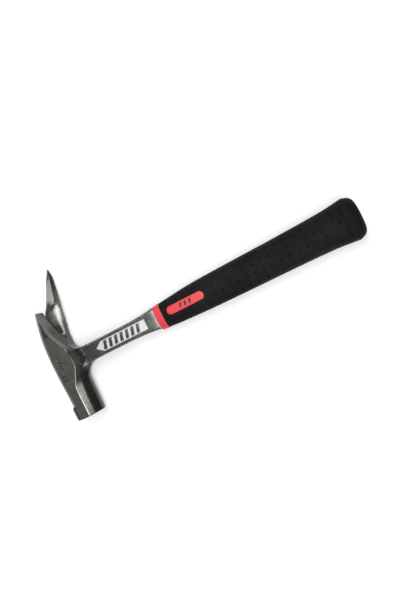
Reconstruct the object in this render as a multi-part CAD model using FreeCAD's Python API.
"""Carpenter's roofing hammer, forged in one piece, with a spiked claw and a moulded grip.

Frame: origin at the centre of the striking face. +X runs from the head along the handle to the butt, +Y runs
from the striking face along the head to the spike, +Z is up when the hammer lies on its side.
All sizes are millimetres. "Depth" on the head is measured from the striking face, along +Y.
"""

import FreeCAD
import Part
import math
import os

V = FreeCAD.Vector

# ---------------------------------------------------------------- head
face_to_axis = 56.3        # striking face to the shank's centreline
head_length = 151.3        # striking face to the spike's tip
head_half_width = 13.5     # half the distance between the two ground cheeks
grinding_stock = 0.3       # what the grinder takes off each cheek
poll_edge = 13.8           # edge of the poll towards the handle
face_taper = 1.0           # the poll is this much narrower there at the striking face
face_rim = 1.3             # rounding around the striking face
top_chamfer = 3.0          # broken edge between the cheek and the top of the head
nail_rest_proud = 2.4      # the nail rest stands this far above the top of the poll
nail_rest_length = 13.5    # length of the nail rest, from the face
nail_rest_inset = 0.6      # from its sides to the cheeks
nail_rest_round = 2.6
nail_rest_lip = 0.9        # broken edge at the face
neck_slope = 2.6           # length of the slope behind it
neck_drop = 3.0            # how far that slope falls, into the poll

# ---------------------------------------------------------------- nail holder
nail_groove_radius = 2.1
nail_groove_rise = 0.9     # the groove's axis lies this far outside the nail rest
magnet_radius = 2.5
magnet_length = 6.0
magnet_sink = 0.5          # the magnet's end lies this far under the groove's floor

# ---------------------------------------------------------------- claw
slot_root = 86.6           # depth of the closed end of the nail slot
slot_end = 110.0           # depth where the slot's sides stop widening
slot_root_half = 0.8
slot_mouth_half = 3.0
slot_runout_radius = 8.5   # round end of the slot's wall on the long prong
slot_runout_x = 7.0
prong_split = 91.0         # depth from which the two prongs are shaped apart
short_prong_end = 115.3    # depth of the short prong's outer corner
short_prong_lean = 18.8    # degrees its blunt end leans back towards the handle
broken_corner_start = 5.4  # from the outer corner, where its broken corner starts
broken_corner_lean = 69.2  # degrees the broken corner leans back
split_gap = 0.4            # half the gap between the prongs where they part
far_bevel_slope = 21.0     # degrees the ground bevel falls away on the long prong
point_length = 9.3         # steep end of the spike
spike_tip_x = 21.7
spike_tip_drop = 7.6       # the tip lies this far under the hammer's middle plane
spike_tip_half = 0.35

# ---------------------------------------------------------------- shank and tang
shank_half_height = 8.8
shank_half_thickness = 6.8
shank_corner = 2.4
shank_overlap = 4.0        # the shank starts this far inside the head, from its middle
lower_fillet = 16.0        # between the poll and the shank
upper_fillet = 9.0         # between the claw and the shank
collar_front = 101.8       # where the collar starts
shoulder_half_height = 11.4
tang_end_cover = 13.2      # from the tang's end to the butt
tang_half_height = 8.0
tang_half_thickness = 4.2
tang_taper = 0.72          # size of the tang's end as a share of its start
tang_root = 4.0            # the tang starts this far inside the shank
anchor_hole_radius = 3.0
anchor_hole_count = 3

# ---------------------------------------------------------------- relief panel on the shank
panel_length = 56.0
panel_to_collar = 11.8     # from the panel's back end to the collar
panel_half_height = 5.4
panel_depth = 0.8
panel_point = 7.0          # length of the panel's pointed front end
rib_count = 7
rib_width = 3.4
rib_lean = 2.6             # how far a rib's top is set towards the butt
rib_margin = 1.1           # from a rib's ends to the panel's long sides

# ---------------------------------------------------------------- handle
collar_length = 7.2
collar_proud = 0.35        # the collar stands this far above the rubber beside it
rubber_thickness = 3.8
sleeve_end_cover = 9.0     # rubber over the sleeve's end
grip_length = 219.2        # from the collar's front to the butt
butt_length = 10.0         # the rounded end, behind the widest place
handle_power = 2.35        # 2 is an ellipse, more is squarer

# ---------------------------------------------------------------- badge plates
plate_gap = 5.6            # from the collar to the badge plate
plate_length = 40.0
plate_half_height = 4.3
plate_bed = 0.3            # rubber between the sleeve and the plate, at the plate's back end
plate_proud = 0.15
plate_rise = 0.9           # the plate's middle lies this far above the shank's centreline
mark_count = 3
mark_pitch = 5.0
mark_width = 2.4
mark_half_height = 2.4
mark_lean = 1.2
mark_depth = 0.6

# ---------------------------------------------------------------- butt details
groove_to_butt = 27.8      # from the first groove across the side to the butt
groove_spacing = 11.0
groove_width = 2.0
groove_half_length = 15.5
groove_depth = 1.3
locator_radius = 1.9       # hole left by the mould's locating pin
locator_depth = 2.6
locator_rise = 2.0

# ---------------------------------------------------------------- curves of the head: (depth, value)
TOP_LINE = [(0.0, -12.1), (24.0, -12.4), (47.0, -12.9), (60.0, -12.9), (70.0, -12.5), (80.0, -11.9),
            (92.0, -10.4), (102.0, -8.5), (111.0, -6.4), (117.0, -4.8)]
# Edge of the flat cheek towards the handle, its height as a share of the half width, and its rounding.
CHEEK_LINE = [(0.0, -1.8), (20.0, -1.7), (31.6, -1.1), (36.6, 1.5), (43.9, 5.4), (50.0, 7.7), (57.5, 8.5),
              (63.6, 8.2), (75.0, 6.4), (92.0, 6.6), (117.0, 10.5)]
CHEEK_HEIGHT = [(0.0, 1.0), (66.0, 1.0), (92.0, 0.97), (117.0, 0.93)]
CHEEK_ROUND = [(0.0, 12.0), (28.0, 8.0), (42.0, 5.5), (58.0, 4.5), (68.0, 2.0), (117.0, 1.2)]
# Ridge where the slope below the cheek meets the side that faces the handle.
RIDGE_LINE = [(0.0, 4.9), (18.0, 5.6), (30.0, 6.7), (40.0, 9.0), (45.0, 11.8), (47.6, 14.8), (50.0, 19.4),
              (57.0, 20.3), (63.0, 20.0), (66.0, 18.0), (70.0, 14.0), (76.0, 10.6), (92.0, 11.4), (117.0, 16.0)]
RIDGE_HEIGHT = [(0.0, 10.6), (19.0, 10.6), (30.0, 10.3), (40.0, 9.4), (45.0, 8.4), (50.0, 6.9), (65.0, 6.9),
                (72.0, 7.6), (84.0, 8.4), (117.0, 8.4)]
RIDGE_ROUND = [(0.0, 7.0), (30.0, 5.0), (44.0, 1.6), (117.0, 1.2)]
# Side that faces the handle: how high it reaches above the middle plane, and how deep it reaches below it.
EDGE_HEIGHT = [(0.0, 4.6), (30.0, 4.4), (44.0, 3.4), (66.0, 2.6), (117.0, 2.4)]
EDGE_DEPTH = [(0.0, 4.6), (30.0, 4.4), (44.0, 3.4), (62.0, 3.0), (72.0, 7.0), (80.0, 8.8), (117.0, 8.8)]
EDGE_SETBACK = [(0.0, 0.0), (64.0, 0.0), (76.0, 1.9), (117.0, 1.9)]
EDGE_ROUND = [(0.0, 6.5), (30.0, 5.0), (44.0, 2.0), (66.0, 1.0), (117.0, 0.9)]
CLAW_EDGE = [(74.1, 12.2), (80.6, 11.9), (88.2, 13.0), (100.9, 15.3), (112.4, 17.3), (117.0, 18.2)]
# Ground bevel: where it leaves the cheek, where it meets the middle plane, and how it fades out.
BEVEL_CHEEK = [(67.0, 9.6), (73.0, 5.8), (77.0, 4.3), (82.0, 2.1), (86.5, -0.2), (91.0, -1.8), (97.0, -2.8),
               (108.0, -3.5), (119.0, -4.0)]
BEVEL_FOOT = [(67.0, 20.5), (73.0, 14.6), (80.0, 9.8), (86.5, 6.8), (93.0, 4.8), (98.0, 3.5), (108.0, 1.9),
              (119.0, 1.2)]
BEVEL_FADE = [(67.0, 1.0), (108.0, 1.0), (119.0, 0.2)]
# Spike beyond the slot: depth, and the corners of its section (x, height as a share of the half width).
SPIKE = [
    (108.8, [(-1.4, -0.074), (-1.2, -0.667), (1.5, -0.919), (10.5, -0.919), (16.7, -0.637), (14.6, -0.059)]),
    (118.6, [(3.4, -0.459), (3.6, -0.607), (9.0, -0.889), (13.5, -0.889), (19.2, -0.548), (15.2, -0.119)]),
    (head_length - point_length,
     [(15.3, -0.519), (15.4, -0.585), (18.0, -0.733), (20.3, -0.733), (23.1, -0.556), (20.2, -0.363)]),
]

# ---------------------------------------------------------------- curves of the handle
# Half height, half thickness, and how far the middle lies above the shank's centreline, by share of the barrel.
BARREL = [(0.0, 12.1, 9.4, -0.7), (0.077, 13.7, 10.6, -0.5), (0.23, 15.9, 12.2, 0.0), (0.43, 17.0, 13.2, 0.0),
          (0.66, 17.9, 13.7, 0.1), (0.89, 19.5, 14.2, 0.2), (1.0, 21.9, 15.0, 0.2)]
# The rounded end: share of its length, and how far it is drawn in from the widest place, up and across.
BUTT = [(0.0, 0.0, 0.0), (0.55, 1.9, 1.6), (0.82, 4.3, 3.8), (0.96, 7.3, 6.4), (1.0, 9.9, 8.6)]


# ---------------------------------------------------------------- helpers
def smooth(stations, at):
    """Value of a smooth curve through the stations that never overshoots between them."""
    xs = [s[0] for s in stations]
    ys = [s[1] for s in stations]
    if at <= xs[0]:
        return ys[0]
    if at >= xs[-1]:
        return ys[-1]
    slopes = [(ys[i + 1] - ys[i]) / (xs[i + 1] - xs[i]) for i in range(len(xs) - 1)]
    tangents = [slopes[0]]
    for before, after in zip(slopes, slopes[1:]):
        tangents.append(0.0 if before * after <= 0 else 2 * before * after / (before + after))
    tangents.append(slopes[-1])
    i = max(k for k in range(len(xs) - 1) if xs[k] <= at)
    h = xs[i + 1] - xs[i]
    t = (at - xs[i]) / h
    return (
        (2 * t**3 - 3 * t**2 + 1) * ys[i]
        + (t**3 - 2 * t**2 + t) * h * tangents[i]
        + (-2 * t**3 + 3 * t**2) * ys[i + 1]
        + (t**3 - t**2) * h * tangents[i + 1]
    )


def rounded_wire(corners, to_point):
    """Closed wire through corners (a, b, radius), each corner rounded; to_point places a flat point in space."""
    count = len(corners)
    starts, middles, ends = [], [], []
    for i, (a, b, radius) in enumerate(corners):
        here = V(a, b, 0)
        back = V(corners[i - 1][0], corners[i - 1][1], 0) - here
        ahead = V(corners[(i + 1) % count][0], corners[(i + 1) % count][1], 0) - here
        room = 0.45 * min(back.Length, ahead.Length)
        back.normalize()
        ahead.normalize()
        half = back.getAngle(ahead) / 2
        cut = min(radius / math.tan(half), room)
        radius = cut * math.tan(half)
        centre = here + (back + ahead).normalize() * (radius / math.sin(half))
        starts.append(here + back * cut)
        ends.append(here + ahead * cut)
        middles.append(centre + (here - centre).normalize() * radius)
    edges = []
    for i in range(count):
        edges.append(Part.Arc(to_point(starts[i]), to_point(middles[i]), to_point(ends[i])).toShape())
        edges.append(Part.LineSegment(to_point(ends[i]), to_point(starts[(i + 1) % count])).toShape())
    return Part.Wire(edges)


def rounded_box_wire(x, half_height, half_thickness, corner):
    """Rounded rectangle across the handle at x."""
    corners = [(a * half_height, b * half_thickness, corner) for a, b in ((1, 1), (1, -1), (-1, -1), (-1, 1))]
    return rounded_wire(corners, lambda p: V(x, face_to_axis + p.x, p.y))


def oval_wire(x, centre, half_height, half_thickness, points=28):
    """Closed smooth oval across the handle at x, a little squarer than an ellipse."""
    ring = []
    for i in range(points):
        a = 2 * math.pi * i / points
        c, s = math.cos(a), math.sin(a)
        across = half_height * math.copysign(abs(c) ** (2 / handle_power), c)
        up = half_thickness * math.copysign(abs(s) ** (2 / handle_power), s)
        ring.append(V(x, centre + across, up))
    curve = Part.BSplineCurve()
    curve.interpolate(Points=ring, PeriodicFlag=True)
    return Part.Wire([curve.toShape()])


def half_space(point, normal, reach=200.0):
    """A large block that fills the side of a plane that its normal points to."""
    block = Part.makeBox(2 * reach, 2 * reach, reach, V(-reach, -reach, 0))
    block.Placement = FreeCAD.Placement(point, FreeCAD.Rotation(V(0, 0, 1), normal))
    return block


def prism(points, direction):
    """Straight solid from a flat polygon."""
    return Part.Face(Part.makePolygon(points + points[:1])).extrude(direction)


def on_side(shape, side):
    """The shape itself on the upper side of the hammer, or its mirror image on the lower side."""
    return shape if side > 0 else shape.mirror(V(0, 0, 0), V(0, 0, 1))


def one_solid(shape):
    """The largest solid that a boolean left, cleaned of split faces."""
    return max(shape.Solids, key=lambda s: s.Volume).removeSplitter()


# ---------------------------------------------------------------- places that follow from the sizes
butt_end = collar_front + grip_length
butt_widest = butt_end - butt_length
plate_start = collar_front + collar_length + plate_gap
panel_start = collar_front - panel_to_collar - panel_length
groove_first = butt_end - groove_to_butt
tang_end = butt_end - tang_end_cover


# ---------------------------------------------------------------- forged head
def edge_position(y):
    """Edge of the head towards the handle: poll, lower fillet, shank, upper fillet, claw."""
    under = face_to_axis - shank_half_height
    over = face_to_axis + shank_half_height
    claw_edge = smooth(CLAW_EDGE, over + upper_fillet)
    if y <= under - lower_fillet:
        return poll_edge - face_taper * (1 - y / (under - lower_fillet))
    if y < under:
        rise = y - (under - lower_fillet)
        return poll_edge + lower_fillet - math.sqrt(lower_fillet**2 - rise**2)
    if y <= over:
        share = (y - under) / (over - under)
        return (poll_edge + lower_fillet) * (1 - share) + (claw_edge + upper_fillet) * share
    if y < over + upper_fillet:
        fall = over + upper_fillet - y
        return claw_edge + upper_fillet - math.sqrt(upper_fillet**2 - fall**2)
    return smooth(CLAW_EDGE, y)


def head_corners(y):
    """Corners (x, z, rounding) of the head across the plane at y, in order around it."""
    top = smooth(TOP_LINE, y)
    cheek = smooth(CHEEK_LINE, y)
    high = (head_half_width + grinding_stock) * smooth(CHEEK_HEIGHT, y)
    edge = edge_position(y)
    setback = smooth(EDGE_SETBACK, y)
    ridge = min(smooth(RIDGE_LINE, y), edge - setback - 0.6)
    ridge_high = smooth(RIDGE_HEIGHT, y)
    edge_deep = smooth(EDGE_DEPTH, y)
    far_ridge_high = max(ridge_high, edge_deep + 2.2)
    edge_round = smooth(EDGE_ROUND, y)
    near = [
        (top, high - top_chamfer, 1.8),
        (top + top_chamfer, high, 1.8),
        (cheek, high, smooth(CHEEK_ROUND, y)),
        (ridge, ridge_high, smooth(RIDGE_ROUND, y)),
        (edge - setback, smooth(EDGE_HEIGHT, y), edge_round),
    ]
    far = [
        (edge, -edge_deep, edge_round),
        (ridge, -far_ridge_high, smooth(RIDGE_ROUND, y)),
        (cheek, -high, smooth(CHEEK_ROUND, y)),
        (top + top_chamfer, -high, 1.8),
        (top, -(high - top_chamfer), 1.8),
    ]
    return near + far


def head_section(y, inset=0.0):
    """Rounded outline of the head across the plane at y, drawn in all round by the inset."""
    corners = head_corners(y)
    xs = [c[0] for c in corners]
    middle = (min(xs) + max(xs)) / 2
    span_x = 1 - 2 * inset / (max(xs) - min(xs))
    span_z = 1 - inset / head_half_width
    shrunk = [(middle + (x - middle) * span_x, z * span_z, r) for x, z, r in corners]
    return rounded_wire(shrunk, lambda p: V(p.x, y, p.y))


def head_blank():
    """Poll and claw in one loft along the head, before the claw is split and ground."""
    under = face_to_axis - shank_half_height
    over = face_to_axis + shank_half_height
    rim = [head_section(0.0, face_rim), head_section(face_rim * 0.3, face_rim * 0.3), head_section(face_rim)]
    poll = [8.0, 16.0, 24.0, under - lower_fillet]
    lower = [under - lower_fillet * s for s in (0.88, 0.74, 0.6, 0.47, 0.35, 0.25, 0.16, 0.08, 0.02)]
    middle = [face_to_axis - 5.0, face_to_axis, face_to_axis + 5.0]
    upper = [over + upper_fillet * s for s in (0.03, 0.12, 0.25, 0.4, 0.6, 0.8, 1.0)]
    claw = [77.0, 81.0, 85.5, 90.0, 95.0, 100.5, 107.0, 117.0]
    sections = [head_section(y) for y in poll + lower + middle + upper + claw]
    return Part.makeLoft(rim + sections, True, True)


def nail_rest():
    """Raised pad behind the striking face, on the top of the poll."""
    low = smooth(TOP_LINE, 0.0) - nail_rest_proud
    half = head_half_width - nail_rest_inset
    stations = [(face_taper / 2, nail_rest_lip), (face_taper / 2 + nail_rest_lip, 0.0), (nail_rest_length, 0.0),
                (nail_rest_length + neck_slope, neck_drop)]
    wires = []
    for y, inset in stations:
        corners = [(low + inset, half, nail_rest_round), (0.0, half, 1.0), (0.0, -half, 1.0),
                   (low + inset, -half, nail_rest_round)]
        wires.append(rounded_wire(corners, lambda p: V(p.x, y, p.y)))
    return Part.makeLoft(wires, True, True)


def nail_holder():
    """Groove across the nail rest, the hole for its magnet, and the place of the groove's floor."""
    axis_x = smooth(TOP_LINE, 0.0) - nail_rest_proud - nail_groove_rise
    floor = axis_x + nail_groove_radius
    groove = Part.makeCylinder(
        nail_groove_radius, nail_rest_length + neck_slope + 8.0, V(axis_x, -4.0, 0), V(0, 1, 0))
    mouth = V(axis_x, nail_rest_length / 2, 0)
    hole = Part.makeCylinder(magnet_radius, floor + magnet_sink + magnet_length - axis_x, mouth, V(1, 0, 0))
    return groove, hole, floor


def shank_half_height_at(x):
    """The shank widens into a shoulder just before the collar."""
    return smooth(
        [(0.0, shank_half_height + 0.5), (44.0, shank_half_height), (collar_front - 30.0, shank_half_height + 0.2),
         (collar_front - 12.0, shank_half_height + 1.2), (collar_front, shoulder_half_height)], x)


def shank():
    stations = [shank_overlap, 30.0, 44.0] + [collar_front - s for s in (34.0, 26.0, 18.0, 12.0, 6.0, 0.0)]
    return Part.makeLoft(
        [rounded_box_wire(x, shank_half_height_at(x), shank_half_thickness, shank_corner) for x in stations],
        True, False)


def tang():
    start = rounded_box_wire(collar_front - tang_root, tang_half_height, tang_half_thickness, 1.5)
    end = rounded_box_wire(
        tang_end, tang_half_height * tang_taper, tang_half_thickness * tang_taper, 1.0)
    body = Part.makeLoft([start, end], True, True)
    for i in range(anchor_hole_count):
        x = collar_front + (tang_end - collar_front) * (i + 1) / (anchor_hole_count + 1)
        body = body.cut(Part.makeCylinder(anchor_hole_radius, 40.0, V(x, face_to_axis, -20.0)))
    return body


# ---------------------------------------------------------------- claw
def slot_half_at(y):
    widening = (slot_mouth_half - slot_root_half) / (short_prong_end - slot_root)
    return slot_root_half + widening * (y - slot_root)


def nail_slot():
    """Wedge between the prongs. On the long prong its wall ends in a round run-out."""
    past = short_prong_end + 6.0
    wall = slot_half_at(slot_end)
    outline = [V(-50, slot_root, -slot_root_half), V(-50, slot_root - slot_root_half, 0),
               V(-50, slot_root, slot_root_half), V(-50, past, slot_half_at(past)), V(-50, past, 0),
               V(-50, slot_end, 0), V(-50, slot_end, -wall)]
    runout = Part.makeCylinder(slot_runout_radius, wall, V(slot_runout_x, slot_end, -wall))
    runout = runout.common(half_space(V(0, slot_end, 0), V(0, 1, 0)))
    return prism(outline, V(120, 0, 0)).fuse(runout)


def ground_bevel():
    """What the grinder takes from the claw's handle side: steep on the short prong, shallow on the long one."""
    reach, above = 40.0, 20.0
    wires = []
    for y in (67.0, 71.0, 75.0, 79.5, 84.0, 88.0, 92.0, 97.0, 103.0, 110.0, 115.0, 119.0):
        cheek, foot = smooth(BEVEL_CHEEK, y), smooth(BEVEL_FOOT, y)
        lean = (cheek - foot) / head_half_width
        fall = reach * math.tan(math.radians(far_bevel_slope)) * smooth(BEVEL_FADE, y)
        corners = [V(foot, y, 0), V(foot + lean * above, y, above), V(foot + reach, y, above),
                   V(foot + reach, y, -fall)]
        wires.append(Part.makePolygon(corners + corners[:1]))
    return Part.makeLoft(wires, True, True)


def short_prong_trim():
    """Everything above the middle plane beyond the short prong's blunt end and its broken corner."""
    corner = V(smooth(TOP_LINE, short_prong_end), short_prong_end, 0)
    lean, steep = math.radians(short_prong_lean), math.radians(broken_corner_lean)
    end = half_space(corner, V(math.sin(lean), math.cos(lean), 0))
    second = corner + V(broken_corner_start, -broken_corner_start * math.tan(lean), 0)
    broken = half_space(second, V(math.sin(steep), math.cos(steep), 0))
    broken = broken.common(half_space(corner - V(0, broken_corner_start * 1.5, 0), V(0, 1, 0)))
    return end.fuse(broken).common(half_space(V(0, 0, -0.01), V(0, 0, 1)))


def long_prong():
    """Far prong from the nail slot on: a block that turns into a four-sided point."""
    top = smooth(TOP_LINE, prong_split)
    edge = smooth(CLAW_EDGE, prong_split)
    setback = smooth(EDGE_SETBACK, prong_split)
    high = head_half_width * smooth(CHEEK_HEIGHT, prong_split)
    start = [(top, -split_gap), (top, -(high - top_chamfer)), (top + top_chamfer, -high),
             (smooth(CHEEK_LINE, prong_split), -high), (edge, -smooth(EDGE_DEPTH, prong_split)),
             (edge - setback, -split_gap)]
    rings = [(prong_split, start)]
    for y, corners in SPIKE:
        rings.append((y, [(x, share * head_half_width) for x, share in corners]))
    tip = [(spike_tip_x + a * spike_tip_half, -spike_tip_drop + b * spike_tip_half)
           for a, b in ((-1.0, 0.3), (-1.0, -0.3), (-0.3, -1.0), (0.3, -1.0), (1.0, 0.0), (0.0, 1.0))]
    wires = []
    for y, ring in rings + [(head_length, tip)]:
        points = [V(x, y, z) for x, z in ring]
        wires.append(Part.makePolygon(points + points[:1]))
    return Part.makeLoft(wires, True, True)


# ---------------------------------------------------------------- relief panel
def relief_panel(side):
    """Recess on one side of the shank with a pointed front end, and the raised slanted ribs inside it."""
    z = side * (shank_half_thickness - panel_depth)
    front, back = panel_start, panel_start + panel_length
    y, half = face_to_axis, panel_half_height
    outline = [V(front, y, z), V(front + panel_point, y + half, z), V(back, y + half, z), V(back, y - half, z),
               V(front + panel_point, y - half, z)]
    recess = prism(outline, V(0, 0, side * 20.0))
    reach = half - rib_margin
    pitch = (panel_length - panel_point - rib_width - rib_lean) / rib_count
    ribs = []
    for i in range(rib_count):
        x = front + panel_point + i * pitch
        corners = [V(x, y - reach, z), V(x + rib_width, y - reach, z), V(x + rib_width + rib_lean, y + reach, z),
                   V(x + rib_lean, y + reach, z)]
        ribs.append(prism(corners, V(0, 0, side * panel_depth * 0.9)))
    return recess, ribs


def forged_body():
    """The whole forging, and the place of the nail groove's floor."""
    far_block = Part.makeBox(200, 200, 60, V(-100, prong_split, -60.0))
    body = head_blank().fuse(nail_rest()).cut(far_block).cut(short_prong_trim())
    body = body.fuse(long_prong()).fuse(shank()).fuse(tang())
    groove, hole, floor = nail_holder()
    body = body.cut(nail_slot()).cut(ground_bevel()).cut(groove).cut(hole)
    for side in (1, -1):
        body = body.cut(half_space(V(0, 0, side * head_half_width), V(0, 0, side)))
        recess, ribs = relief_panel(side)
        body = body.cut(recess).fuse(ribs)
    return one_solid(body), floor


# ---------------------------------------------------------------- magnet and handle
def nail_magnet(floor):
    seat = V(floor + magnet_sink, nail_rest_length / 2, 0)
    return Part.makeCylinder(magnet_radius, magnet_length, seat, V(1, 0, 0))


def handle_size(x):
    """Centre, half height and half thickness of the handle at x."""
    share = (x - collar_front) / (butt_widest - collar_front)
    half_height = smooth([(at, height) for at, height, _, _ in BARREL], share)
    half_thickness = smooth([(at, thickness) for at, _, thickness, _ in BARREL], share)
    centre = face_to_axis + smooth([(at, middle) for at, _, _, middle in BARREL], share)
    past = max(0.0, (x - butt_widest) / butt_length)
    half_height -= smooth([(at, up) for at, up, _ in BUTT], past)
    half_thickness -= smooth([(at, across) for at, _, across in BUTT], past)
    return centre, half_height, half_thickness


def handle_skin(places, offset, ruled=False):
    """Solid inside the grip's outline through the given places along the handle, offset outwards or inwards."""
    wires = []
    for x in places:
        centre, half_height, half_thickness = handle_size(x)
        wires.append(oval_wire(x, centre, half_height + offset, half_thickness + offset))
    return Part.makeLoft(wires, True, ruled)


def spread(start, end, count):
    return [start + (end - start) * i / (count - 1) for i in range(count)]


def front_collar(steel):
    places = spread(collar_front, collar_front + collar_length, 3)
    return one_solid(handle_skin(places, collar_proud).cut(steel))


def sleeve_outside():
    places = spread(collar_front + collar_length, butt_end - sleeve_end_cover, 9)
    return handle_skin(places, -rubber_thickness)


def grip_outside(offset=0.0):
    barrel = handle_skin(spread(collar_front + collar_length, butt_widest, 12), offset)
    end = handle_skin([butt_widest + share * butt_length for share, _, _ in BUTT], offset, True)
    return barrel.fuse(end).removeSplitter()


def slot_block(middle, length, width, along, low):
    """Upright block with round ends, standing on the height low, along X or across it."""
    tall = 2 * plate_half_height + 2 * rubber_thickness
    reach = (length - width) / 2
    foot = V(middle.x, middle.y, low)
    step = V(reach, 0, 0) if along else V(0, reach, 0)
    side = V(0, width / 2, 0) if along else V(width / 2, 0, 0)
    ends = [Part.makeCylinder(width / 2, tall, foot + step), Part.makeCylinder(width / 2, tall, foot - step)]
    corners = [foot - step - side, foot + step - side, foot + step + side, foot - step + side]
    return prism(corners, V(0, 0, tall)).fuse(ends).removeSplitter()


def badge_pocket():
    middle = V(plate_start + plate_length / 2, face_to_axis + plate_rise, 0)
    low = handle_size(plate_start + plate_length)[2] - rubber_thickness + plate_bed
    return slot_block(middle, plate_length, 2 * plate_half_height, True, low)


def badge_bars():
    """Slanted bars set in a plate in place of lettering."""
    middle = plate_start + plate_length / 2
    y = face_to_axis + plate_rise
    low = handle_size(middle)[2] + plate_proud - mark_depth
    bars = []
    for i in range(mark_count):
        x = middle + (i - (mark_count - 1) / 2) * mark_pitch - (mark_width + mark_lean) / 2
        corners = [V(x, y - mark_half_height, low), V(x + mark_width, y - mark_half_height, low),
                   V(x + mark_width + mark_lean, y + mark_half_height, low),
                   V(x + mark_lean, y + mark_half_height, low)]
        bars.append(prism(corners, V(0, 0, 10)))
    return Part.makeCompound(bars)


def butt_details():
    """Two grooves across the side of the butt, and the locating hole between them."""
    cuts = []
    for i in range(2):
        x = groove_first + i * groove_spacing
        floor = handle_skin(spread(x - groove_width, x + groove_width, 3), -groove_depth)
        block = slot_block(V(x, face_to_axis, 0), 2 * groove_half_length, groove_width, False, 0.0)
        cuts.append(one_solid(block.cut(floor)))
    middle = groove_first + groove_spacing / 2
    low = handle_size(middle)[2] - locator_depth
    cuts.append(Part.makeCylinder(locator_radius, 20.0, V(middle, face_to_axis + locator_rise, low)))
    return Part.makeCompound(cuts)


def rubber_grip():
    """Rubber moulded over the sleeve and the tang, with pockets for the badges and the marks at its butt."""
    grip = grip_outside().cut(sleeve_outside()).cut(tang())
    for side in (1, -1):
        grip = grip.cut(on_side(badge_pocket(), side))
        for detail in butt_details().Solids:
            grip = grip.cut(on_side(detail, side))
    return one_solid(grip)


def main():
    os.makedirs("parts", exist_ok=True)
    steel, groove_floor = forged_body()
    pieces = {
        "forged_body": steel,
        "nail_magnet": nail_magnet(groove_floor),
        "front_collar": front_collar(steel),
        "inner_sleeve": one_solid(sleeve_outside().cut(steel)),
        "rubber_grip": rubber_grip(),
    }
    plate_skin = grip_outside(plate_proud)
    marks = []
    for side, name in ((1, "badge_plate_top"), (-1, "badge_plate_bottom")):
        bars = on_side(badge_bars(), side).common(plate_skin)
        pieces[name] = one_solid(on_side(badge_pocket(), side).common(plate_skin).cut(bars))
        marks += bars.Solids
    pieces["badge_marks"] = Part.makeCompound(marks)
    for name, shape in pieces.items():
        state = "valid" if shape.isValid() else "BROKEN"
        print(f"{name}: {state}, {len(shape.Solids)} solids, {len(shape.Faces)} faces, {shape.Volume:.0f} mm3")
        shape.exportStep("parts/" + name + ".step")


main()
